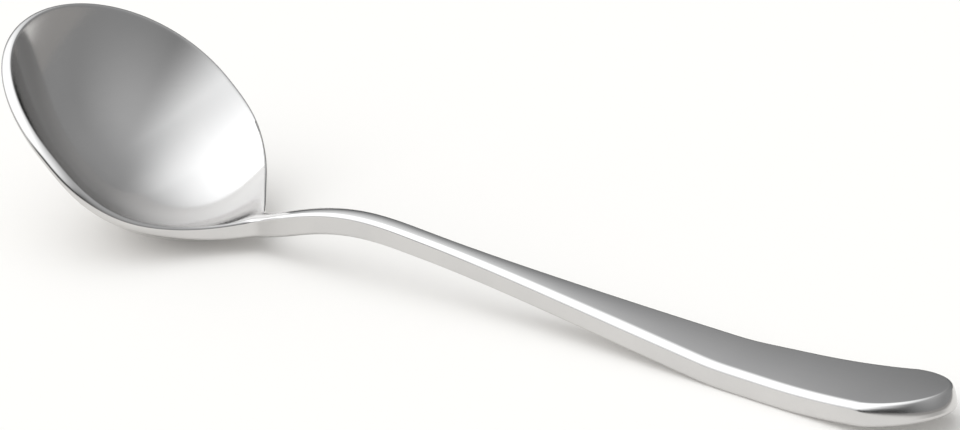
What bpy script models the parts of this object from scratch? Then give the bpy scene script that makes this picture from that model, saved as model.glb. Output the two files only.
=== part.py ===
"""Cupping spoon, in metres, +Z up, at rest on its heel and on the pad under its tail.

The spoon is one piece of stainless steel: a cut blank that is dished, bent along its length and polished.
So it is modelled that way. The blank is drawn flat, with s along its length from the tip of the bowl and
y across it. Loops run round the blank, each one a copy of its outline drawn inwards, over the top, round
the edge and under the bottom. The press then lifts each point by its height h over the top edge and carries
it along the bent edge line. The skin between the loops is the spoon.
"""

import math

import bmesh
import bpy
import numpy as np

# Bowl
BOWL_WIDTH = 0.0465  # across the outside of the rim
BOWL_FRONT = 0.0243  # from the tip to the widest place, along the edge line
BOWL_BACK = 0.0285  # from the widest place to where the shoulders have run out into the neck
BOWL_DEPTH = 0.0127  # from the rim's plane to the inside of the hollow
SHEET = 0.0018  # thickness of the bowl's wall at its rim
BOWL_WALL = 0.0012  # thickness at the bottom of the bowl, where dishing has drawn the sheet thinner
RIM_FLAT = 0.0002  # flat that is left on the outside of the rim, between its two roundings
RIM_TOP = 0.0002  # flat that is left on top of the rim, between its rounding and the hollow
SHOULDER_FULLNESS = 3.07  # higher keeps the bowl wide for longer behind its widest place
SHOULDER_SWEEP = 1.47  # higher gives the shoulders a longer hollow curve into the neck
DISH_FULLNESS = 2.15  # 2 is a round hollow, higher has a flatter bottom and steeper walls
DISH_REACH = 2.7  # higher keeps the hollow deep for longer towards the neck
DISH_RUN_OUT = 2.45  # how softly the hollow ends at the neck

# Handle
NECK_WIDTH = 0.0037  # at the narrowest place
NECK_REACH = 0.0868  # from the tip to where the handle begins to widen
TAIL_WIDTH = 0.0176  # where the round end begins
TAIL_ROUND = 0.0104  # length of the round end
TAIL_FULLNESS = 1.4  # 1 gives the round end corners where it begins, 2 gives it none
TAIL_SWEEP = 0.5  # lower gives a squarer end
NECK_THICKNESS = 0.00345
HANDLE_THICKNESS = 0.0039  # over the pad that lies on the table
TAIL_THICKNESS = 0.0035  # at the end of the tail, thinned from the pad on
HANDLE_ROUND = 0.0012  # rounding of the handle's top edges
END_ROUND = 0.0015  # rounding of the top edge round the tail's end
UNDER_ROUND = 0.0007  # rounding of the handle's lower edges
NECK_CROWN = 0.0005  # height of the swell across the top of the neck
HANDLE_CROWN = 0.00016  # and across the rest of the handle
CROWN_RUN = 0.0550  # length over which the swell goes from the one to the other
HEEL_START = 0.0380  # where the blank begins to grow from sheet to handle thickness
HEEL_LENGTH = 0.0227

# Side view: lengths along the edge line, angles in degrees from level
TIP_PITCH = 31.9  # fall of the rim at the tip, towards the handle
HEEL_PITCH = 43.3  # fall of the rim at its back end
RIM_RUN = 0.0342
HEEL_BEND = 0.0226
ARCH_BEND = 0.0276
HANDLE_FALL = 5.7
HANDLE_RUN = 0.0548
TAIL_BEND = 0.0078
PAD_RUN = 0.0065  # level stretch that lies on the table
TAIL_RUN = 0.0270
TAIL_LIFT = 10.8  # the tail's end curves up by this angle

# Mesh counts
FRONT_STEPS = 20
SHOULDER_STEPS = 18
HANDLE_STEPS = 24
TAIL_STEPS = 12
TOP_SHARES = (0.14, 0.3, 0.46, 0.61, 0.74, 0.85, 0.94)  # loops on the top face, 1 is its border
UNDER_SHARES = (0.97, 0.88, 0.76, 0.62, 0.46, 0.3, 0.14)
TOP_EDGE_STEPS = 4
UNDER_EDGE_STEPS = 3
LINE_STEPS = 4000

RIM_ROUND = (SHEET - RIM_FLAT) / 2
RIM_LAND = RIM_ROUND + RIM_TOP
LENGTH = RIM_RUN + HEEL_BEND + ARCH_BEND + HANDLE_RUN + TAIL_BEND + PAD_RUN + TAIL_RUN
PAD_START = LENGTH - TAIL_RUN - PAD_RUN
ROUND_START = LENGTH - TAIL_ROUND


def ease(share):
    """0 to 1 with a level start and end."""
    share = np.clip(share, 0.0, 1.0)
    return share * share * (3.0 - 2.0 * share)


def flared_half(s):
    """Half of the handle's width, were it not rounded off at its end."""
    neck, tail = NECK_WIDTH / 2, TAIL_WIDTH / 2
    flare = math.sqrt(tail**2 - neck**2) / (ROUND_START - NECK_REACH)
    return np.hypot(neck, flare * np.clip(s - NECK_REACH, 0.0, None))


def past_round_start(s):
    """0 up to where the round end begins, 1 at the end of the tail."""
    return np.clip((s - ROUND_START) / TAIL_ROUND, 0.0, 1.0)


def half_width(s):
    """Half of the blank's width at s: the bowl and its shoulders, joined to the flaring handle."""
    ahead = np.clip((BOWL_FRONT - s) / BOWL_FRONT, 0.0, 1.0)
    behind = np.clip((s - BOWL_FRONT) / BOWL_BACK, 0.0, 1.0)
    front = np.sqrt(1.0 - ahead**2)
    back = (1.0 - behind**SHOULDER_FULLNESS) ** SHOULDER_SWEEP
    bowl = BOWL_WIDTH / 2 * np.where(s < BOWL_FRONT, front, back)
    rounded = (1.0 - past_round_start(s) ** TAIL_FULLNESS) ** TAIL_SWEEP
    return np.hypot(bowl, flared_half(s) * rounded * ease(behind))


def from_rim_to_handle(at_rim, on_handle, s):
    """A size that changes along the heel from its value at the rim to its value on the handle."""
    return at_rim + (on_handle - at_rim) * ease((s - HEEL_START) / HEEL_LENGTH)


def top_round(s):
    """Rounding of the upper edge: round the rim, along the handle and, larger, round the tail's end."""
    at_end = (END_ROUND - HANDLE_ROUND) * ease((s - ROUND_START + TAIL_ROUND) / TAIL_ROUND)
    return from_rim_to_handle(RIM_ROUND, HANDLE_ROUND, s) + at_end


def edge_height(s):
    """Height of the side face at s."""
    grown = ease((s - NECK_REACH) / (PAD_START - NECK_REACH))
    thinned = ease((s - PAD_START - PAD_RUN) / TAIL_RUN)
    handle = NECK_THICKNESS + (HANDLE_THICKNESS - NECK_THICKNESS) * grown
    handle = handle + (TAIL_THICKNESS - HANDLE_THICKNESS) * thinned
    return from_rim_to_handle(SHEET, handle, s)


def hollow(s, y, inset):
    """Share of the bowl's depth, for a hollow whose edge lies inset inside the outline."""
    dome = np.hypot((BOWL_FRONT - s) / (BOWL_FRONT - inset), y / (BOWL_WIDTH / 2 - inset))
    behind = np.clip((s - BOWL_FRONT) / BOWL_BACK, 0.0, 1.0)
    across = np.abs(y) / np.maximum(half_width(s) - inset, SHEET / 10)
    fade = np.where(s < BOWL_FRONT, 1.0, (1.0 - behind**DISH_REACH) ** DISH_RUN_OUT)
    share = 1.0 - np.where(s < BOWL_FRONT, dome, across) ** DISH_FULLNESS
    return fade * np.clip(share, 0.0, None)


def crown(s, y):
    """The swell across the top of the handle, nothing at its edges."""
    at_neck = 1.0 - ease((s - NECK_REACH) / CROWN_RUN)
    swell = HANDLE_CROWN + (NECK_CROWN - HANDLE_CROWN) * at_neck
    swell = swell * ease((s - HEEL_START) / HEEL_LENGTH) * (1.0 - past_round_start(s) ** 2)
    half = np.maximum(half_width(s), SHEET / 10)
    return swell * np.clip(1.0 - (y / half) ** 2, 0.0, None)


def top_height(s, y):
    return crown(s, y) - BOWL_DEPTH * hollow(s, y, RIM_LAND)


def under_height(s, y):
    dished = hollow(s, y, RIM_ROUND)
    drawn_thin = (SHEET - BOWL_WALL) * (1.0 - (1.0 - dished) ** 2)
    return drawn_thin - edge_height(s) - BOWL_DEPTH * dished


def edge_line(rise):
    """The top edge in side view, as s, x, z and heading, when the handle leaves the heel at this rise."""
    s = np.linspace(0.0, LENGTH, LINE_STEPS)
    arch_start = RIM_RUN + HEEL_BEND
    tail_start = PAD_START - TAIL_BEND
    heading = -TIP_PITCH - (HEEL_PITCH - TIP_PITCH) * np.clip(s / RIM_RUN, 0.0, 1.0)
    heading += (HEEL_PITCH + rise) * ease((s - RIM_RUN) / HEEL_BEND)
    heading -= (rise + HANDLE_FALL) * ease((s - arch_start) / ARCH_BEND)
    heading += HANDLE_FALL * ease((s - tail_start) / TAIL_BEND)
    heading += TAIL_LIFT * np.clip((s - PAD_START - PAD_RUN) / TAIL_RUN, 0.0, 1.0)
    heading = np.radians(heading)
    step = s[1] - s[0]
    x = np.concatenate(([0.0], np.cumsum(np.cos((heading[1:] + heading[:-1]) / 2) * step)))
    z = np.concatenate(([0.0], np.cumsum(np.sin((heading[1:] + heading[:-1]) / 2) * step)))
    z += HANDLE_THICKNESS - np.interp(PAD_START + PAD_RUN / 2, s, z)
    return s, x, z, heading


def press(line, s, y, h):
    """Carries points of the dished blank along the bent edge line."""
    x = np.interp(s, line[0], line[1])
    z = np.interp(s, line[0], line[2])
    heading = np.interp(s, line[0], line[3])
    return np.column_stack((x - h * np.sin(heading), y, z + h * np.cos(heading)))


def stations():
    """Places along the blank, closer together where the outline turns."""
    turn = np.linspace(0.0, math.pi / 2, FRONT_STEPS + 1)
    front = BOWL_FRONT * (1.0 - np.cos(turn))
    shoulder = np.linspace(BOWL_FRONT, BOWL_FRONT + BOWL_BACK, SHOULDER_STEPS + 1)
    handle = np.linspace(shoulder[-1], ROUND_START, HANDLE_STEPS + 1)
    turn = np.linspace(0.0, math.pi / 2, TAIL_STEPS + 1)
    tail = ROUND_START + TAIL_ROUND * np.sin(turn)
    pad = np.array([PAD_START, PAD_START + PAD_RUN])
    return np.unique(np.round(np.concatenate((front, shoulder, handle, tail, pad)), 9))


def outline():
    """The blank's outline from the tip along -Y to the tail and back along +Y, with its ways inwards."""
    s = stations()
    w = half_width(s)
    w[0] = w[-1] = 0.0
    points = np.column_stack((np.concatenate((s, s[-2:0:-1])), np.concatenate((-w, w[-2:0:-1]))))
    along = np.roll(points, -1, axis=0) - np.roll(points, 1, axis=0)
    inward = np.column_stack((-along[:, 1], along[:, 0]))
    inward /= np.linalg.norm(inward, axis=1)[:, None]
    # The round end is drawn in towards its own middle, so that its corners stay clean.
    end = np.column_stack((-past_round_start(points[:, 0]), -points[:, 1] / flared_half(points[:, 0])))
    return points, np.where(points[:, :1] < ROUND_START, inward, end)


def blank_loops():
    """Loops over the blank from the middle of the top to the middle of the underside, each as s, y and h."""
    points, inward = outline()
    s = points[:, 0]
    upper = top_round(s)
    lower = from_rim_to_handle(RIM_ROUND, UNDER_ROUND, s)
    height = edge_height(s)
    border = from_rim_to_handle(RIM_LAND, (flared_half(s) + upper) / 2, s)
    # Each loop closes in on the bowl's centre, on the handle's middle line and on the tail's centre.
    behind = np.clip((s - BOWL_FRONT) / BOWL_BACK, 0.0, 1.0)
    heart = np.where(s < BOWL_FRONT, BOWL_FRONT, BOWL_FRONT + (s - BOWL_FRONT) * ease(behind))
    heart = np.minimum(heart, ROUND_START)
    middle = np.column_stack((heart, np.zeros_like(heart)))

    def drawn_in(inset):
        return points + inward * np.asarray(inset)[:, None]

    def shrunk(loop, share):
        return middle + (loop - middle) * share

    loops = []
    rim_loop = drawn_in(border)
    for share in (*TOP_SHARES, 1.0):
        flat = shrunk(rim_loop, share)
        loops.append(np.column_stack((flat, top_height(flat[:, 0], flat[:, 1]))))
    for turn in np.linspace(0.0, math.pi / 2, TOP_EDGE_STEPS + 1):
        flat = drawn_in(upper * (1.0 - math.sin(turn)))
        loops.append(np.column_stack((flat, crown(*flat.T) - upper * (1.0 - math.cos(turn)))))
    for turn in np.linspace(0.0, math.pi / 2, UNDER_EDGE_STEPS + 1):
        flat = drawn_in(lower * (1.0 - math.cos(turn)))
        loops.append(np.column_stack((flat, lower * (1.0 - math.sin(turn)) - height)))
    under_loop = drawn_in(lower)
    for share in UNDER_SHARES:
        flat = shrunk(under_loop, share)
        loops.append(np.column_stack((flat, under_height(flat[:, 0], flat[:, 1]))))
    return loops


def settled_line(loops):
    """The edge line whose heel just reaches the table that the tail's pad lies on."""
    blank = np.concatenate(loops)
    blank = blank[blank[:, 0] < NECK_REACH]
    low, high = 0.0, 60.0
    for _ in range(50):
        rise = (low + high) / 2
        lowest = press(edge_line(rise), *blank.T)[:, 2].min()
        low, high = (rise, high) if lowest > 0.0 else (low, rise)
    return edge_line(low)


def loft(name, rings):
    """A closed skin over the rings, whose first and last are closed by ribs from side to side."""
    bm = bmesh.new()
    rows = [[bm.verts.new(point) for point in ring] for ring in rings]
    count = len(rows[0])
    for row, following in zip(rows, rows[1:]):
        for i in range(count):
            j = (i + 1) % count
            bm.faces.new((row[i], row[j], following[j], following[i]))
    for row in (rows[0], rows[-1]):
        for i in range(count // 2):
            rib = (row[i], row[i + 1], row[-i - 1], row[-i % count])
            bm.faces.new(tuple(dict.fromkeys(rib)))
    bmesh.ops.recalc_face_normals(bm, faces=bm.faces)
    for face in bm.faces:
        face.smooth = True
    mesh = bpy.data.meshes.new(name)
    bm.to_mesh(mesh)
    bm.free()
    spoon = bpy.data.objects.new(name, mesh)
    bpy.context.scene.collection.objects.link(spoon)
    return spoon


def stainless_steel():
    material = bpy.data.materials.new("stainless_steel")
    material.use_nodes = True
    shader = material.node_tree.nodes["Principled BSDF"]
    shader.inputs["Base Color"].default_value = (0.62, 0.61, 0.59, 1.0)
    shader.inputs["Metallic"].default_value = 1.0
    shader.inputs["Roughness"].default_value = 0.22
    return material


def main():
    for old in list(bpy.data.objects):
        bpy.data.objects.remove(old)
    loops = blank_loops()
    line = settled_line(loops)
    rings = [press(line, *loop.T) for loop in loops]
    everything = np.concatenate(rings)
    centre = (everything[:, 0].min() + everything[:, 0].max()) / 2
    for ring in rings:
        ring[:, 0] -= centre
    spoon = loft("spoon", rings)
    spoon.data.materials.append(stainless_steel())


main()
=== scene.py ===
import math

import bmesh
import bpy
import numpy as np
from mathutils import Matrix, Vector


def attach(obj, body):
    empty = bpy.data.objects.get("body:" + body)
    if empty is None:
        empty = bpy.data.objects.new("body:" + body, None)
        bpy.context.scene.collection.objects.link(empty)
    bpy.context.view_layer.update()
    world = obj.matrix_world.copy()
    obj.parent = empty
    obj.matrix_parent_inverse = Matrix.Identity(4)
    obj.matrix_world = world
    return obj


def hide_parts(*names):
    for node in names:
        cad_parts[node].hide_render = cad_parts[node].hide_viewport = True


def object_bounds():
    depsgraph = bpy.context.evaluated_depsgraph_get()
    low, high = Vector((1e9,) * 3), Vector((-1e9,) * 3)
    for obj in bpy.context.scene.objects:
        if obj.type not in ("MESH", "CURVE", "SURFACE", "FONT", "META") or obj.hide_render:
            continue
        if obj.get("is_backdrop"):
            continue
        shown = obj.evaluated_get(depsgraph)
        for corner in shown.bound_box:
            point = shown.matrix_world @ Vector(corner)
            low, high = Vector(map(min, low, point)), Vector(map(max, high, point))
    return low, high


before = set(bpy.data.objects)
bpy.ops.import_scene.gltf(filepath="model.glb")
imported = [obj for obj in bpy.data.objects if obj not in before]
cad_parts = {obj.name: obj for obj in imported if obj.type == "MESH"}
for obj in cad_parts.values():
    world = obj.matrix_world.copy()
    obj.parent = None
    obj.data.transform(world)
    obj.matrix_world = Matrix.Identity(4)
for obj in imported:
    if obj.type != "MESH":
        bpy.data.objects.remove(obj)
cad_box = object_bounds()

# Bowl. Lengths are in metres, angles in degrees; s runs along the flat blank from the bowl's tip.
BOWL_WIDTH = 0.0465
BOWL_FRONT = 0.0243  # from the tip to the widest place
BOWL_BACK = 0.0285  # from there to the end of the hollow
BOWL_DEPTH = 0.0127
SHEET = 0.0018  # thickness at the rim
BOWL_WALL = 0.0012  # thickness of the drawn wall
RIM_FLAT = 0.0002
RIM_TOP = 0.00005  # flat left between the hollow and the rim's edge
# The rim's edge from the lip down: radius, slopes at the start and the end, and steps of each arc
RIM_ARCS = ((0.0015, 75.0, 14.0, 9), (0.0009, 14.0, -14.0, 6), (0.0002, -14.0, -70.0, 4))
SHOULDER_FULLNESS = 3.07
SHOULDER_SWEEP = 1.47
SHOULDER_SLOPE = 1.34  # the shoulders run straight down to the neck from where they get this steep
SHOULDER_CORNER = 0.0007  # softness of the corner between shoulder and neck
DISH_FULLNESS = 2.15
DISH_REACH = 2.7
DISH_RUN_OUT = 2.45
LIP_SOFTENING = 0.008  # how much the polishing wheel has rounded the hollow's upper edge

# Handle
NECK_WIDTH = 0.0037
NECK_REACH = 0.0868  # where the neck begins to widen
TAIL_WIDTH = 0.0176
TAIL_ROUND = 0.0104  # length of the round end
TAIL_FULLNESS = 1.3
TAIL_SWEEP = 0.5
NECK_THICKNESS = 0.00345
HANDLE_THICKNESS = 0.0039
TAIL_THICKNESS = 0.0035
NECK_ROUND = 0.0004  # radius of the upper edge at the neck, and along the handle
HANDLE_ROUND = 0.0012
ROUND_GROWS_FROM = 0.0580
ROUND_GROWS_TO = 0.1250
EDGE_NARROWS_FROM = 0.0320  # where the rim's edge begins to turn into the neck's
EDGE_NARROWS_OVER = 0.0180
END_ROUND = 0.0005  # the edge over the tail's end face is hardly broken
END_BEVEL = 0.0019  # height over which the end face leans back
END_LEAN = 0.00030  # by this much at its top
END_BLEND = 0.0065  # length over which the handle's rounded edge turns into the end's
END_AHEAD = 0.0020  # and how far ahead of the round end that begins
UNDER_ROUND = 0.0007  # radius of the lower edge
NECK_CROWN = 0.0003
HANDLE_CROWN = 0.00016
CROWN_RUN = 0.0550
HEEL_START = 0.0380  # where sheet begins to turn into bar
HEEL_LENGTH = 0.0227

# Side view: pitches, and the runs and bends between them
TIP_PITCH = 31.9
HEEL_PITCH = 43.3
RIM_RUN = 0.0342
HEEL_BEND = 0.0226
ARCH_BEND = 0.0276
HANDLE_FALL = 5.7
HANDLE_RUN = 0.0548
TAIL_BEND = 0.0078
PAD_RUN = 0.0065
TAIL_RUN = 0.0270
TAIL_LIFT = 10.8
MOST_RISE = 60.0  # the rise from the heel to the arch is looked for below this
RISE_HALVINGS = 50

# Fineness of the polished skin
FRONT_STEPS = 64
SHOULDER_STEPS = 60
HANDLE_STEPS = 110
TAIL_STEPS = 44
TOP_STEPS = 34
UNDER_STEPS = 26
TOP_EDGE_STEPS = 10
UNDER_EDGE_STEPS = 8
SIDE_SHARES = (0.05, 0.3, 0.7, 0.95)
PROFILE_STEPS = TOP_EDGE_STEPS + 1 + len(SIDE_SHARES) + UNDER_EDGE_STEPS + 1
END_EDGE_STEPS = 6
LINE_STEPS = 4000
SHOULDER_TRIES = (0.05, 0.95, 2000)
# The loops close in on a line along the middle, which ends these shares of the way to tip and tail
SPINE_FRONT = 0.6
SPINE_TAIL = 0.2
INNERMOST = 0.02  # first and last plain loop, as shares of the way out from that line
OUTERMOST = 0.96
LIP_SHARES = (0.975, 0.986, 0.993, 1.0)  # closer loops at the hollow's edge
LAND_SHARES = (0.1, 0.2, 0.32, 0.5, 0.7, 0.88, 0.96)  # from there to the rim's edge
UNDER_LIP_SHARES = (0.993, 0.98)
TOP_LOOPS = TOP_STEPS + len(LIP_SHARES) + len(LAND_SHARES)

RIM_ROUND = (SHEET - RIM_FLAT) / 2
LEAST_HALF = SHEET / 10  # half widths are kept above this where something is divided by them
LENGTH = RIM_RUN + HEEL_BEND + ARCH_BEND + HANDLE_RUN + TAIL_BEND + PAD_RUN + TAIL_RUN
PAD_START = LENGTH - TAIL_RUN - PAD_RUN
ROUND_START = LENGTH - TAIL_ROUND


def ease(share):
    """From 0 to 1 without a kink at either end."""
    share = np.clip(share, 0.0, 1.0)
    return share * share * (3.0 - 2.0 * share)


def flared_half(s):
    """Half of the handle's width, were it not rounded off at its end."""
    neck, tail = NECK_WIDTH / 2, TAIL_WIDTH / 2
    flare = math.sqrt(tail**2 - neck**2) / (ROUND_START - NECK_REACH)
    return np.hypot(neck, flare * np.clip(s - NECK_REACH, 0.0, None))


def past_round_start(s):
    """0 where the round end begins, 1 at the tail's tip."""
    return np.clip((s - ROUND_START) / TAIL_ROUND, 0.0, 1.0)


def shoulder_start():
    """Where the shoulders have become as steep as they get, and half of the width there."""
    behind = np.linspace(*SHOULDER_TRIES)
    half = BOWL_WIDTH / 2 * (1.0 - behind**SHOULDER_FULLNESS) ** SHOULDER_SWEEP
    steep = -np.gradient(half, behind * BOWL_BACK)
    first = int(np.argmax(steep > SHOULDER_SLOPE))
    return BOWL_FRONT + BOWL_BACK * behind[first], half[first]


STRAIGHT_FROM, STRAIGHT_HALF = shoulder_start()


def half_width(s):
    """Half of the blank's width: egg-shaped bowl, straight shoulders, neck, flaring handle, round end."""
    ahead = np.clip((BOWL_FRONT - s) / BOWL_FRONT, 0.0, 1.0)
    behind = np.clip((s - BOWL_FRONT) / BOWL_BACK, 0.0, 1.0)
    front = np.sqrt(1.0 - ahead**2)
    back = (1.0 - behind**SHOULDER_FULLNESS) ** SHOULDER_SWEEP
    bowl = BOWL_WIDTH / 2 * np.where(s < BOWL_FRONT, front, back)
    straight = STRAIGHT_HALF - SHOULDER_SLOPE * (s - STRAIGHT_FROM)
    bowl = np.where(s > STRAIGHT_FROM, straight, bowl)
    handle = flared_half(s) * (1.0 - past_round_start(s) ** TAIL_FULLNESS) ** TAIL_SWEEP
    joined = (bowl + handle + np.sqrt((bowl - handle) ** 2 + SHOULDER_CORNER**2)) / 2
    return np.where(s < STRAIGHT_FROM, bowl, np.where(s < NECK_REACH, joined, handle))


def from_rim_to_handle(at_rim, on_handle, s):
    """A length that changes along the heel."""
    return at_rim + (on_handle - at_rim) * ease((s - HEEL_START) / HEEL_LENGTH)


def past_rim(s):
    """0 round the bowl's rim, 1 from the neck on, for the shape of the upper edge."""
    return ease((s - EDGE_NARROWS_FROM) / EDGE_NARROWS_OVER)


def handle_round(s):
    """Rounding of the upper edge: crisp at the neck, soft at the tail."""
    grown = np.clip((s - ROUND_GROWS_FROM) / (ROUND_GROWS_TO - ROUND_GROWS_FROM), 0.0, 1.0)
    return NECK_ROUND + (HANDLE_ROUND - NECK_ROUND) * grown


def land(s):
    """How far inside the outline the hollow begins."""
    return RIM_LAND + (NECK_ROUND + RIM_TOP - RIM_LAND) * past_rim(s)


def at_end(s):
    """0 along the handle, 1 round the tail's end."""
    return ease((s - ROUND_START + END_AHEAD) / END_BLEND)


def edge_height(s):
    """Thickness of the blank at its edge."""
    grown = ease((s - NECK_REACH) / (PAD_START - NECK_REACH))
    thinned = ease((s - PAD_START - PAD_RUN) / TAIL_RUN)
    handle = NECK_THICKNESS + (HANDLE_THICKNESS - NECK_THICKNESS) * grown
    handle = handle + (TAIL_THICKNESS - HANDLE_THICKNESS) * thinned
    return from_rim_to_handle(SHEET, handle, s)


def arc(radius, first, last, steps):
    """Points round an outside corner between two slopes, as pairs of inset and rise from its last point."""
    turns = np.radians(np.linspace(first, last, steps))
    out, up = np.cos(turns), np.sin(turns)
    return list(zip(radius * (out[-1] - out), radius * (up - up[-1])))


def strung(first, last, shares):
    """Points on the straight line between two pairs."""
    return [tuple(a + (b - a) * share for a, b in zip(first, last)) for share in shares]


def rim_profile():
    """The sheet's edge round the bowl, polished round from its lip, then straight in to the wall under it."""
    points = [(0.0, 0.0)]
    for radius, first, last, steps in RIM_ARCS:
        turn = arc(radius, first, last, steps + 1)
        start_inset = points[-1][0] - turn[0][0]
        start_drop = points[-1][1] + turn[0][1]
        points += [(start_inset + inset, start_drop - rise) for inset, rise in turn[1:]]
    outmost = min(inset for inset, _ in points)
    points = [(inset - outmost, drop) for inset, drop in points]
    rest = np.linspace(0.0, 1.0, PROFILE_STEPS - len(points) + 1)[1:]
    return points + strung(points[-1], (RIM_ROUND, SHEET), rest)


RIM_LAND = rim_profile()[0][0] + RIM_TOP


def side_profile(s, upper):
    """Upper edge, side face and lower edge of the handle at s, as pairs of inset and drop."""
    height = edge_height(s)
    points = [(inset + np.zeros_like(s), drop + np.zeros_like(s)) for inset, drop in upper]
    side_top, side_foot = points[-1][1], height - UNDER_ROUND
    for share in SIDE_SHARES:
        points.append((np.zeros_like(s), side_top + (side_foot - side_top) * share))
    for turn in np.linspace(0.0, math.pi / 2, UNDER_EDGE_STEPS + 1):
        inset = np.full_like(s, UNDER_ROUND * (1.0 - math.cos(turn)))
        points.append((inset, side_foot + UNDER_ROUND * math.sin(turn)))
    return points


def end_edge():
    """The crisper edge over the tail's end face, running into the face's slight lean."""
    lean = math.atan(2 * END_LEAN / END_BEVEL)
    edge = arc(END_ROUND, 90.0, math.degrees(lean), END_EDGE_STEPS)
    points = [(END_LEAN + inset, edge[0][1] - rise) for inset, rise in edge]
    edge_drop = points[-1][1]
    for share in np.linspace(0.0, 1.0, TOP_EDGE_STEPS - END_EDGE_STEPS + 2)[1:]:
        points.append((END_LEAN * (1.0 - share) ** 2, edge_drop + END_BEVEL * share))
    return points


def edge_profile(s):
    """The blank's edge from its top face to its underside, as pairs of inset and drop at each s."""
    radius = handle_round(s)
    quarter = arc(1.0, 90.0, 0.0, TOP_EDGE_STEPS + 1)
    along = side_profile(s, [(inset * radius, (1.0 - rise) * radius) for inset, rise in quarter])
    end = side_profile(s, end_edge())
    past_heel = past_rim(s)
    past_corner = at_end(s)
    pairs = []
    for rim, handle, tail in zip(rim_profile(), along, end):
        pair = []
        for at_rim, on_handle, on_tail in zip(rim, handle, tail):
            bent = at_rim + (on_handle - at_rim) * past_heel
            pair.append(bent + (on_tail - bent) * past_corner)
        pairs.append(tuple(pair))
    return pairs


def hollow(s, y, inset, softening):
    """Share of the bowl's depth, for a hollow whose softened edge lies inset inside the outline."""
    dome = np.hypot((BOWL_FRONT - s) / (BOWL_FRONT - inset), y / (BOWL_WIDTH / 2 - inset))
    behind = np.clip((s - BOWL_FRONT) / BOWL_BACK, 0.0, 1.0)
    across = np.abs(y) / np.maximum(half_width(s) - inset, LEAST_HALF)
    fade = np.where(s < BOWL_FRONT, 1.0, (1.0 - behind**DISH_REACH) ** DISH_RUN_OUT)
    share = np.clip(1.0 - np.where(s < BOWL_FRONT, dome, across) ** DISH_FULLNESS, -1.0, 1.0)
    return fade * (share + np.sqrt(share**2 + softening**2)) / 2


def crown(s, y):
    """The swell across the top of the handle, nothing at its edges."""
    at_neck = 1.0 - ease((s - NECK_REACH) / CROWN_RUN)
    swell = HANDLE_CROWN + (NECK_CROWN - HANDLE_CROWN) * at_neck
    swell = swell * ease((s - HEEL_START) / HEEL_LENGTH) * (1.0 - past_round_start(s) ** 2)
    half = np.maximum(half_width(s), LEAST_HALF)
    return swell * np.clip(1.0 - (y / half) ** 2, 0.0, None)


def top_height(s, y):
    """The blank's upper face above its flat edge."""
    return crown(s, y) - BOWL_DEPTH * hollow(s, y, land(s), LIP_SOFTENING)


def under_height(s, y):
    """The blank's lower face, which follows the hollow with a thinner wall."""
    dished = hollow(s, y, RIM_ROUND, 0.0)
    drawn_thin = (SHEET - BOWL_WALL) * (1.0 - (1.0 - dished) ** 2)
    return drawn_thin - edge_height(s) - BOWL_DEPTH * dished


def edge_line(rise):
    """The blank's edge in side view, for a rise from the heel to the arch: s, x, z and heading."""
    s = np.linspace(0.0, LENGTH, LINE_STEPS)
    arch_start = RIM_RUN + HEEL_BEND
    tail_start = PAD_START - TAIL_BEND
    heading = -TIP_PITCH - (HEEL_PITCH - TIP_PITCH) * np.clip(s / RIM_RUN, 0.0, 1.0)
    heading += (HEEL_PITCH + rise) * ease((s - RIM_RUN) / HEEL_BEND)
    heading -= (rise + HANDLE_FALL) * ease((s - arch_start) / ARCH_BEND)
    heading += HANDLE_FALL * ease((s - tail_start) / TAIL_BEND)
    heading += TAIL_LIFT * np.clip((s - PAD_START - PAD_RUN) / TAIL_RUN, 0.0, 1.0)
    heading = np.radians(heading)
    step = s[1] - s[0]
    x = np.concatenate(([0.0], np.cumsum(np.cos((heading[1:] + heading[:-1]) / 2) * step)))
    z = np.concatenate(([0.0], np.cumsum(np.sin((heading[1:] + heading[:-1]) / 2) * step)))
    z += HANDLE_THICKNESS - np.interp(PAD_START + PAD_RUN / 2, s, z)
    return s, x, z, heading


def press(line, s, y, h):
    """Bends points of the blank along the edge line."""
    x = np.interp(s, line[0], line[1])
    z = np.interp(s, line[0], line[2])
    heading = np.interp(s, line[0], line[3])
    return np.column_stack((x - h * np.sin(heading), y, z + h * np.cos(heading)))


def stations():
    """Places along the blank, closer together where its outline turns."""
    turn = np.linspace(0.0, math.pi / 2, FRONT_STEPS + 1)
    front = BOWL_FRONT * (1.0 - np.cos(turn))
    shoulder = np.linspace(BOWL_FRONT, BOWL_FRONT + BOWL_BACK, SHOULDER_STEPS + 1)
    handle = np.linspace(shoulder[-1], ROUND_START, HANDLE_STEPS + 1)
    turn = np.linspace(0.0, math.pi / 2, TAIL_STEPS + 1)
    tail = ROUND_START + TAIL_ROUND * np.sin(turn)
    return np.unique(np.round(np.concatenate((front, shoulder, handle, tail)), 9))


def outline():
    """The blank's outline and the way inwards at each of its points."""
    s = stations()
    w = half_width(s)
    w[0] = w[-1] = 0.0
    there_and_back = np.concatenate((s, s[-2:0:-1]))
    points = np.column_stack((there_and_back, np.concatenate((-w, w[-2:0:-1]))))
    along = np.roll(points, -1, axis=0) - np.roll(points, 1, axis=0)
    inward = np.column_stack((-along[:, 1], along[:, 0]))
    inward /= np.linalg.norm(inward, axis=1)[:, None]
    # The round end is drawn in towards its own middle, so that its corners stay clean.
    along_s, across = points.T
    end = np.column_stack((-past_round_start(along_s), -across / flared_half(along_s)))
    return points, np.where(points[:, :1] < ROUND_START, inward, end)


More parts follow.
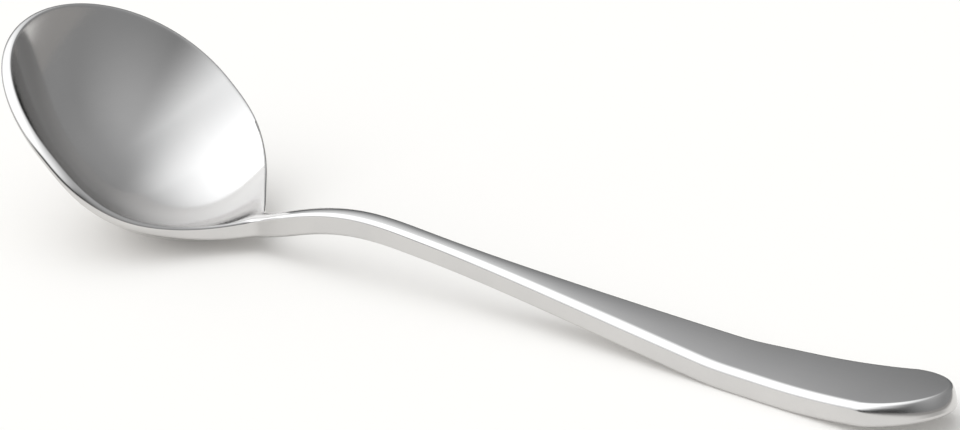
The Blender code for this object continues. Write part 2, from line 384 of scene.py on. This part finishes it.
def hollow_edge(points):
    """The loop along the upper edge of the hollow, carried on along the top of the handle."""
    s, y = points.T
    half = np.abs(y)
    on_handle = ease((s - BOWL_FRONT - BOWL_BACK) / HEEL_LENGTH)
    inset = land(s) + ((flared_half(s) + handle_round(s)) / 2 - land(s)) * on_handle
    ahead = np.clip((BOWL_FRONT - s) / BOWL_FRONT, 0.0, 1.0)
    along = s + ahead * inset - past_round_start(s) * inset
    front = half * (1.0 - 2 * RIM_LAND / BOWL_WIDTH)
    middle = half - inset
    end = half * (1.0 - inset / flared_half(s))
    across = np.where(s < BOWL_FRONT, front, np.where(s < ROUND_START, middle, end))
    return np.column_stack((along, np.sign(y) * across))


def spine(s):
    """Where the loop's ends close in on the middle line."""
    front = BOWL_FRONT - (BOWL_FRONT - s) * SPINE_FRONT
    tail = ROUND_START + (s - ROUND_START) * SPINE_TAIL
    return np.where(s < BOWL_FRONT, front, np.where(s > ROUND_START, tail, s))


def blank_loops():
    """Loops over the whole blank: out over its top, round its edge and back in underneath."""
    points, inward = outline()
    s = points[:, 0]
    middle = np.column_stack((spine(s), np.zeros_like(s)))
    profile = edge_profile(s)

    def drawn_in(inset):
        return points + inward * np.asarray(inset)[:, None]

    def between(first, second, share):
        return first + (second - first) * share

    def on_top(flat):
        return np.column_stack((flat, top_height(flat[:, 0], flat[:, 1])))

    loops = []
    lip = hollow_edge(points)
    edge_start = drawn_in(profile[0][0])
    for share in (*np.linspace(INNERMOST, OUTERMOST, TOP_STEPS), *LIP_SHARES):
        loops.append(on_top(between(middle, lip, share)))
    for share in LAND_SHARES:
        loops.append(on_top(between(lip, edge_start, share)))
    for inset, drop in profile:
        flat = drawn_in(inset)
        loops.append(np.column_stack((flat, crown(*flat.T) - drop)))
    under_start = drawn_in(from_rim_to_handle(RIM_ROUND, UNDER_ROUND, s))
    for share in (*UNDER_LIP_SHARES, *np.linspace(OUTERMOST, INNERMOST, UNDER_STEPS)):
        flat = between(middle, under_start, share)
        loops.append(np.column_stack((flat, under_height(flat[:, 0], flat[:, 1]))))
    return loops


def settled_line(loops):
    """The edge line with which heel and tail pad stand on one table."""
    blank = np.concatenate(loops)
    blank = blank[blank[:, 0] < NECK_REACH]
    low, high = 0.0, MOST_RISE
    for _ in range(RISE_HALVINGS):
        rise = (low + high) / 2
        lowest = press(edge_line(rise), *blank.T)[:, 2].min()
        low, high = (rise, high) if lowest > 0.0 else (low, rise)
    return edge_line(low)


def loft(name, rings):
    """A closed smooth mesh through the rings, its first and last ring closed across."""
    bm = bmesh.new()
    rows = [[bm.verts.new(point) for point in ring] for ring in rings]
    count = len(rows[0])
    for row, following in zip(rows, rows[1:]):
        for i in range(count):
            j = (i + 1) % count
            bm.faces.new((row[i], row[j], following[j], following[i]))
    for row in (rows[0], rows[-1]):
        for i in range(count // 2):
            rib = (row[i], row[i + 1], row[-i - 1], row[-i % count])
            bm.faces.new(tuple(dict.fromkeys(rib)))
    bmesh.ops.recalc_face_normals(bm, faces=bm.faces)
    for face in bm.faces:
        face.smooth = True
    mesh = bpy.data.meshes.new(name)
    bm.to_mesh(mesh)
    bm.free()
    spoon = bpy.data.objects.new(name, mesh)
    bpy.context.scene.collection.objects.link(spoon)
    return spoon


def mark_blank(mesh, loops):
    """Keeps on each point its place on the flat blank, and how much of an edge it is."""
    blank = np.concatenate(loops)
    mesh.attributes.new("blank", "FLOAT_VECTOR", "POINT").data.foreach_set("vector", blank.ravel())
    worn = np.zeros(len(loops))
    turn = np.linspace(0.0, math.pi, PROFILE_STEPS)
    worn[TOP_LOOPS:TOP_LOOPS + PROFILE_STEPS] = np.sin(turn)
    edge = np.repeat(worn, len(loops[0]))
    mesh.attributes.new("edge", "FLOAT", "POINT").data.foreach_set("value", edge)


def give_finishes(mesh, loops):
    """Hollow, handle with its sides, rim and underside each get their own finish."""
    for finish in (bowl_mirror(), handle_polish(), edge_buff(), underside_satin()):
        mesh.materials.append(finish)
    bowl, handle, rim, underside = range(4)
    corners = np.array([polygon.vertices[0] for polygon in mesh.polygons])
    loop = corners // len(loops[0])
    in_bowl = np.concatenate(loops)[corners, 0] < BOWL_FRONT + BOWL_BACK
    on_bowl = np.where(loop < TOP_LOOPS, bowl, rim)
    finish = np.where(in_bowl, on_bowl, handle)
    finish = np.where(loop >= TOP_LOOPS + PROFILE_STEPS, underside, finish)
    mesh.polygons.foreach_set("material_index", finish.astype(np.int32))


def spoon_skin():
    """The whole spoon, one piece of steel from tip to tail."""
    loops = blank_loops()
    line = settled_line(loops)
    rings = [press(line, *loop.T) for loop in loops]
    everything = np.concatenate(rings)
    centre = (everything[:, 0].min() + everything[:, 0].max()) / 2
    for ring in rings:
        ring[:, 0] -= centre
    spoon = loft("spoon_steel", rings)
    mark_blank(spoon.data, loops)
    give_finishes(spoon.data, loops)
    return spoon


# Node helpers


def linked(tree, socket, value):
    """Sets a socket, or links it when the value comes from another node."""
    if isinstance(value, bpy.types.NodeSocket):
        tree.links.new(value, socket)
    else:
        socket.default_value = value


def sum_up(tree, operation, first, second):
    """One sum with two values."""
    node = tree.nodes.new("ShaderNodeMath")
    node.operation = operation
    linked(tree, node.inputs[0], first)
    linked(tree, node.inputs[1], second)
    return node.outputs[0]


def vector_sum(tree, operation, first, second, output="Vector"):
    """One sum with two vectors."""
    node = tree.nodes.new("ShaderNodeVectorMath")
    node.operation = operation
    linked(tree, node.inputs[0], first)
    linked(tree, node.inputs[1], second)
    return node.outputs[output]


def ramp(tree, value, start, end, low=0.0, high=1.0, kind="SMOOTHSTEP"):
    """Goes from low to high while the value goes from start to end."""
    step = tree.nodes.new("ShaderNodeMapRange")
    step.interpolation_type = kind
    ends = {"From Min": start, "From Max": end, "To Min": low, "To Max": high}
    for name, number in {"Value": value, **ends}.items():
        linked(tree, step.inputs[name], number)
    return step.outputs["Result"]


def mixed_colour(tree, share, first, second):
    """The first colour at share 0, the second at share 1."""
    mix = tree.nodes.new("ShaderNodeMix")
    mix.data_type = "RGBA"
    for socket, value in ((mix.inputs[0], share), (mix.inputs[6], first), (mix.inputs[7], second)):
        linked(tree, socket, value)
    return mix.outputs[2]


def noise(tree, place, detail, roughness):
    """Soft noise, one unit of place to a grain."""
    node = tree.nodes.new("ShaderNodeTexNoise")
    tree.links.new(place, node.inputs["Vector"])
    for name, number in (("Scale", 1.0), ("Detail", detail), ("Roughness", roughness)):
        node.inputs[name].default_value = number
    return node.outputs["Fac"]


def kept_on_mesh(tree, name):
    """What mark_blank has kept on the points."""
    node = tree.nodes.new("ShaderNodeAttribute")
    node.attribute_name = name
    return node


# Effects that the finishes share. Scales are grains per metre of the blank, grains are detail and roughness.
LINE_LENGTH = 110.0  # polishing lines along their run, and across it
LINE_FINENESS = 5200.0
FINE_GRAIN = (2.0, 0.6)
BROAD_GRAIN = (1.0, 0.5)
BROAD_LINES = (0.6, 0.22, 0.22)  # scale of the broad lines against the fine ones
FINE_SHARE = 0.65
SCRATCH_ANGLES = (12.0, 74.0, 138.0)
SCRATCH_STRETCH = (85.0, 3800.0, 300.0)
SCRATCH_GRAIN = (1.0, 0.4)
SCRATCH_CUT = (0.66, 0.74)
SCRATCH_PATCHES = (130.0, 130.0, 130.0)
PATCH_GRAIN = (1.0, 0.5)
PATCH_CUT = (0.42, 0.62)
HAZE_SCALE = (75.0, 75.0, 75.0)
HAZE_GRAIN = (3.0, 0.55)
HAZE_CUT = (0.30, 0.72)


def effect(name, output):
    """An empty shader node group that takes a place and gives one value."""
    tree = bpy.data.node_groups.new(name, "ShaderNodeTree")
    tree.interface.new_socket("Place", in_out="INPUT", socket_type="NodeSocketVector")
    tree.interface.new_socket(output, in_out="OUTPUT", socket_type="NodeSocketFloat")
    place = tree.nodes.new("NodeGroupInput").outputs["Place"]
    result = tree.nodes.new("NodeGroupOutput").inputs[output]
    return tree, place, result


def polishing_lines():
    """Fine lines left by the polishing wheel, for a place in which one unit is the width of a line."""
    tree, place, result = effect("polishing_lines", "Lines")
    fine = noise(tree, place, *FINE_GRAIN)
    broad = noise(tree, vector_sum(tree, "MULTIPLY", place, BROAD_LINES), *BROAD_GRAIN)
    fine = sum_up(tree, "MULTIPLY", fine, FINE_SHARE)
    broad = sum_up(tree, "MULTIPLY", broad, 1.0 - FINE_SHARE)
    tree.links.new(sum_up(tree, "ADD", fine, broad), result)
    return tree


def hairline_scratches():
    """Thin scratches from use, running several ways, gathered in patches."""
    tree, place, result = effect("hairline_scratches", "Scratches")
    scratches = None
    for angle in SCRATCH_ANGLES:
        turn = tree.nodes.new("ShaderNodeVectorRotate")
        turn.rotation_type = "Z_AXIS"
        turn.inputs["Angle"].default_value = math.radians(angle)
        tree.links.new(place, turn.inputs["Vector"])
        stretched = vector_sum(tree, "MULTIPLY", turn.outputs["Vector"], SCRATCH_STRETCH)
        line = ramp(tree, noise(tree, stretched, *SCRATCH_GRAIN), *SCRATCH_CUT)
        scratches = line if scratches is None else sum_up(tree, "MAXIMUM", scratches, line)
    patches = noise(tree, vector_sum(tree, "MULTIPLY", place, SCRATCH_PATCHES), *PATCH_GRAIN)
    tree.links.new(sum_up(tree, "MULTIPLY", scratches, ramp(tree, patches, *PATCH_CUT)), result)
    return tree


def handling_haze():
    """The faint dulling that hands and cloths leave."""
    tree, place, result = effect("handling_haze", "Haze")
    clouds = noise(tree, vector_sum(tree, "MULTIPLY", place, HAZE_SCALE), *HAZE_GRAIN)
    tree.links.new(ramp(tree, clouds, *HAZE_CUT), result)
    return tree


POLISHING_LINES = polishing_lines()
HAIRLINE_SCRATCHES = hairline_scratches()
HANDLING_HAZE = handling_haze()


# Finishes: roughness where clean and where hazed, roughness that scratches add,
# depth of the polishing lines in metres, and roughness lost on worn edges
BOWL_MIRROR = {"roughness": (0.10, 0.14), "scratched": 0.05, "line_depth": 2.2e-6, "worn": 0.0}
HANDLE_POLISH = {"roughness": (0.11, 0.16), "scratched": 0.06, "line_depth": 2.6e-6, "worn": 0.02}
EDGE_BUFF = {"roughness": (0.10, 0.13), "scratched": 0.05, "line_depth": 1.6e-6, "worn": 0.02}
UNDERSIDE_SATIN = {"roughness": (0.15, 0.22), "scratched": 0.09, "line_depth": 3.6e-6, "worn": 0.0}
STEEL_LIGHT = (0.655, 0.645, 0.635, 1.0)
STEEL_DULL = (0.625, 0.617, 0.610, 1.0)
LINE_RANGE = (0.3, 0.7)
LINE_ROUGHNESS = 0.012  # roughness that a line adds or takes away
SCRATCH_DEPTH = 0.5  # of a scratch, as a share of the lines' depth


def applied(tree, group, place):
    """One of the shared effects, put into a material."""
    node = tree.nodes.new("ShaderNodeGroup")
    node.node_tree = group
    tree.links.new(place, node.inputs["Place"])
    return node.outputs[0]


def steel(name):
    """A plain steel, before it is dressed."""
    material = bpy.data.materials.new(name)
    material.use_nodes = True
    shader = material.node_tree.nodes["Principled BSDF"]
    shader.inputs["Metallic"].default_value = 1.0
    return material, material.node_tree, shader


def dress(tree, shader, lines, roughness, scratched, line_depth, worn):
    """Puts lines, scratches, haze and worn edges on a steel: in its colour, its roughness and its surface."""
    blank = kept_on_mesh(tree, "blank").outputs["Vector"]
    edge = kept_on_mesh(tree, "edge").outputs["Fac"]
    haze = applied(tree, HANDLING_HAZE, blank)
    scratches = applied(tree, HAIRLINE_SCRATCHES, blank)
    tree.links.new(mixed_colour(tree, haze, STEEL_LIGHT, STEEL_DULL), shader.inputs["Base Color"])
    rough = ramp(tree, haze, 0.0, 1.0, *roughness, "LINEAR")
    lined = ramp(tree, lines, *LINE_RANGE, -LINE_ROUGHNESS, LINE_ROUGHNESS, "LINEAR")
    rough = sum_up(tree, "ADD", rough, lined)
    rough = sum_up(tree, "ADD", rough, sum_up(tree, "MULTIPLY", scratches, scratched))
    rough = sum_up(tree, "SUBTRACT", rough, sum_up(tree, "MULTIPLY", edge, worn))
    tree.links.new(rough, shader.inputs["Roughness"])
    bump = tree.nodes.new("ShaderNodeBump")
    bump.inputs["Distance"].default_value = line_depth
    height = sum_up(tree, "SUBTRACT", lines, sum_up(tree, "MULTIPLY", scratches, SCRATCH_DEPTH))
    tree.links.new(height, bump.inputs["Height"])
    tree.links.new(bump.outputs["Normal"], shader.inputs["Normal"])


def lengthwise(tree):
    """Places for lines that run along the spoon."""
    blank = kept_on_mesh(tree, "blank").outputs["Vector"]
    return vector_sum(tree, "MULTIPLY", blank, (LINE_LENGTH, LINE_FINENESS, LINE_FINENESS))


def round_the_bowl(tree):
    """Places for lines that run round the bowl's middle."""
    blank = kept_on_mesh(tree, "blank").outputs["Vector"]
    out = vector_sum(tree, "SUBTRACT", blank, (BOWL_FRONT, 0.0, 0.0))
    flat = vector_sum(tree, "MULTIPLY", out, (1.0, 1.0, 0.0))
    radius = vector_sum(tree, "DISTANCE", flat, (0.0, 0.0, 0.0), "Value")
    apart = tree.nodes.new("ShaderNodeSeparateXYZ")
    tree.links.new(out, apart.inputs[0])
    place = tree.nodes.new("ShaderNodeCombineXYZ")
    linked(tree, place.inputs["X"], sum_up(tree, "MULTIPLY", apart.outputs["X"], LINE_LENGTH))
    linked(tree, place.inputs["Y"], sum_up(tree, "MULTIPLY", radius, LINE_FINENESS))
    linked(tree, place.inputs["Z"], sum_up(tree, "MULTIPLY", apart.outputs["Y"], LINE_LENGTH))
    return place.outputs[0]


def bowl_mirror():
    """The hollow, polished round and round, scratched lightly by cups."""
    material, tree, shader = steel("bowl_mirror")
    lines = applied(tree, POLISHING_LINES, round_the_bowl(tree))
    dress(tree, shader, lines, **BOWL_MIRROR)
    return material


def handle_polish():
    """Top and sides of the handle, polished lengthwise and dulled a little by hands."""
    material, tree, shader = steel("handle_polish")
    lines = applied(tree, POLISHING_LINES, lengthwise(tree))
    dress(tree, shader, lines, **HANDLE_POLISH)
    return material


def edge_buff():
    """The rim, buffed bright and kept bright by use."""
    material, tree, shader = steel("edge_buff")
    lines = applied(tree, POLISHING_LINES, lengthwise(tree))
    dress(tree, shader, lines, **EDGE_BUFF)
    return material


def underside_satin():
    """The underside, polished less finely and rubbed where it stands on tables."""
    material, tree, shader = steel("underside_satin")
    lines = applied(tree, POLISHING_LINES, lengthwise(tree))
    dress(tree, shader, lines, **UNDERSIDE_SATIN)
    return material


# Camera
VIEW_AZIMUTH = math.radians(35.993)  # from the near side (-Y) towards the tail
VIEW_ELEVATION = math.radians(20.487)
VIEW_DISTANCE = 0.785379
VIEW_TARGET = Vector((0.001713, 0.0, 0.015241))
FOCAL_PIXELS = 5146.344
FRAME_PIXELS = 960
SENSOR_WIDTH = 36.0
NEAREST_SEEN = 0.01


def camera():
    """Looks down along the spoon from the tail's near side."""
    data = bpy.data.cameras.new("camera")
    data.sensor_width = SENSOR_WIDTH
    data.sensor_fit = "HORIZONTAL"
    data.lens = FOCAL_PIXELS / FRAME_PIXELS * SENSOR_WIDTH
    data.clip_start = NEAREST_SEEN
    towards = Vector((
        math.cos(VIEW_ELEVATION) * math.sin(VIEW_AZIMUTH),
        -math.cos(VIEW_ELEVATION) * math.cos(VIEW_AZIMUTH),
        math.sin(VIEW_ELEVATION),
    ))
    eye = bpy.data.objects.new("camera", data)
    eye.location = VIEW_TARGET + towards * VIEW_DISTANCE
    eye.rotation_euler = towards.to_track_quat("Z", "Y").to_euler()
    bpy.context.scene.collection.objects.link(eye)
    bpy.context.scene.camera = eye


# Table: a painted pool of light, pale round the spoon, with painted shade that makes it dimmer outside the
# picture
TABLE_HALF = 1.5
TABLE_PALE = (0.945, 0.925, 0.895, 1.0)
# painted shade: the table's colour outside the painted pool of light
TABLE_PAINTED_SHADE = (0.36, 0.35, 0.34, 1.0)
TABLE_WHITE = (1.0, 0.985, 0.96, 1.0)
TABLE_WHITE_SHARE = 0.15
TABLE_ROUGHNESS = 0.8
# middle of the painted pool of light, where its painted shade begins, and where that shade is full
POOL_LIT_MIDDLE = (-0.05, 0.028, 0.0)
POOL_LIT_TO = 0.148
POOL_SHADED_FROM = 0.185


def table():
    """The table top that the spoon lies on."""
    mesh = bpy.data.meshes.new("table")
    half = TABLE_HALF
    corners = [(-half, -half, 0.0), (half, -half, 0.0), (half, half, 0.0), (-half, half, 0.0)]
    mesh.from_pydata(corners, [], [(0, 1, 2, 3)])
    floor = bpy.data.objects.new("table", mesh)
    bpy.context.scene.collection.objects.link(floor)
    floor.data.materials.append(table_white())
    floor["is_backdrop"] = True


def table_white():
    """A matt pale top that keeps shadows and is lifted to white where it is seen. A painted pool of light
    keeps it pale round the spoon, and it is painted darker further out.
    """
    material = bpy.data.materials.new("table_white")
    material.use_nodes = True
    tree = material.node_tree
    place = tree.nodes.new("ShaderNodeTexCoord").outputs["Object"]
    # painted pool of light: the top's colour and its white are both painted darker with distance from the
    # spoon
    away = vector_sum(tree, "DISTANCE", place, POOL_LIT_MIDDLE, "Value")
    dim = ramp(tree, away, POOL_LIT_TO, POOL_SHADED_FROM)
    top = tree.nodes["Principled BSDF"]
    top.inputs["Roughness"].default_value = TABLE_ROUGHNESS
    top.inputs["Specular IOR Level"].default_value = 0.0
    tree.links.new(mixed_colour(tree, dim, TABLE_PALE, TABLE_PAINTED_SHADE), top.inputs["Base Color"])
    white = tree.nodes.new("ShaderNodeEmission")
    tree.links.new(mixed_colour(tree, dim, TABLE_WHITE, TABLE_PAINTED_SHADE), white.inputs["Color"])
    path = tree.nodes.new("ShaderNodeLightPath").outputs
    seen = sum_up(tree, "MAXIMUM", path["Is Camera Ray"], path["Is Glossy Ray"])
    seen = sum_up(tree, "MAXIMUM", seen, path["Is Transmission Ray"])
    mix = tree.nodes.new("ShaderNodeMixShader")
    tree.links.new(sum_up(tree, "MULTIPLY", seen, TABLE_WHITE_SHARE), mix.inputs[0])
    tree.links.new(top.outputs[0], mix.inputs[1])
    tree.links.new(white.outputs[0], mix.inputs[2])
    tree.links.new(mix.outputs[0], tree.nodes["Material Output"].inputs["Surface"])
    return material


# Studio: directions are degrees round from the far side and up, spreads are cosines from the direction
ROOM_TINT = (0.985, 1.0, 1.015)
ROOM_SIDE = (38.6, 0.0)  # the walls are lightest on this side, and dark opposite
ROOM_SPREAD = (-0.73, 1.0)
ROOM_PLAIN = 0.346
CEILING = 0.334
CEILING_POWER = 2.64
PATCH = (107.8, 39.2)  # a paler stretch of ceiling over the tail
PATCH_SPREAD = (0.548, 1.652)
PATCH_LIGHT = 0.90
SCRIM = (-123.8, 30.9)  # the large soft light
SCRIM_SPREAD = (-0.045, 0.931)
SCRIM_LIGHT = 1.95
SCRIM_FOOT = 0.5  # share of its light at table height
SCRIM_FOOT_HEIGHT = 0.5
# Dark screens behind and in front: direction, spread, heights between which they begin, and their light
DARK_SCREENS = (
    ((-32.0, 0.0), (0.75, 0.95), (0.22, 0.06), 0.10),
    ((178.0, 0.0), (0.75, 0.95), (0.27, 0.10), 0.06),
)


def compass(azimuth, elevation):
    """A direction as the studio is laid out: 0 degrees is the far side (+Y), 90 is the tail's side (+X)."""
    turn, lift = math.radians(azimuth), math.radians(elevation)
    return (math.cos(lift) * math.sin(turn), math.cos(lift) * math.cos(turn), math.sin(lift))


def tinted(level):
    """A grey of the room's cool tint."""
    return tuple(level * share for share in ROOM_TINT) + (1.0,)


def studio():
    """A dim room with a large scrim up on the left, and dark screens in front and behind."""
    world = bpy.data.worlds.new("studio")
    bpy.context.scene.world = world
    world.use_nodes = True
    tree = world.node_tree
    place = tree.nodes.new("ShaderNodeTexCoord").outputs["Generated"]

    def towards(axis):
        return vector_sum(tree, "DOT_PRODUCT", place, compass(*axis), "Value")

    height = towards((0.0, 90.0))
    walls = ramp(tree, towards(ROOM_SIDE), *ROOM_SPREAD, 0.0, ROOM_PLAIN, "LINEAR")
    lift = sum_up(tree, "POWER", ramp(tree, height, 0.0, 1.0, kind="LINEAR"), CEILING_POWER)
    level = sum_up(tree, "ADD", walls, sum_up(tree, "MULTIPLY", lift, CEILING))
    colour = mixed_colour(tree, level, tinted(0.0), tinted(1.0))
    patch = ramp(tree, towards(PATCH), *PATCH_SPREAD)
    colour = mixed_colour(tree, patch, colour, tinted(PATCH_LIGHT))
    foot = ramp(tree, height, 0.0, SCRIM_FOOT_HEIGHT, SCRIM_FOOT, 1.0)
    scrim = sum_up(tree, "MULTIPLY", ramp(tree, towards(SCRIM), *SCRIM_SPREAD), foot)
    colour = mixed_colour(tree, scrim, colour, tinted(SCRIM_LIGHT))
    for side, spread, heights, light in DARK_SCREENS:
        low = ramp(tree, height, *heights)
        dark = sum_up(tree, "MULTIPLY", ramp(tree, towards(side), *spread), low)
        colour = mixed_colour(tree, dark, colour, tinted(light))
    tree.links.new(colour, tree.nodes["Background"].inputs["Color"])


skin = spoon_skin()
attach(skin, "root")
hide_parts("spoon")
camera()
table()
studio()

bpy.context.scene.view_settings.view_transform = "Standard"
bpy.context.view_layer.update()
sizes = {"cad": cad_box, "visual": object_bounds()}
sizes = {name: [list(corner) for corner in box] for name, box in sizes.items()}
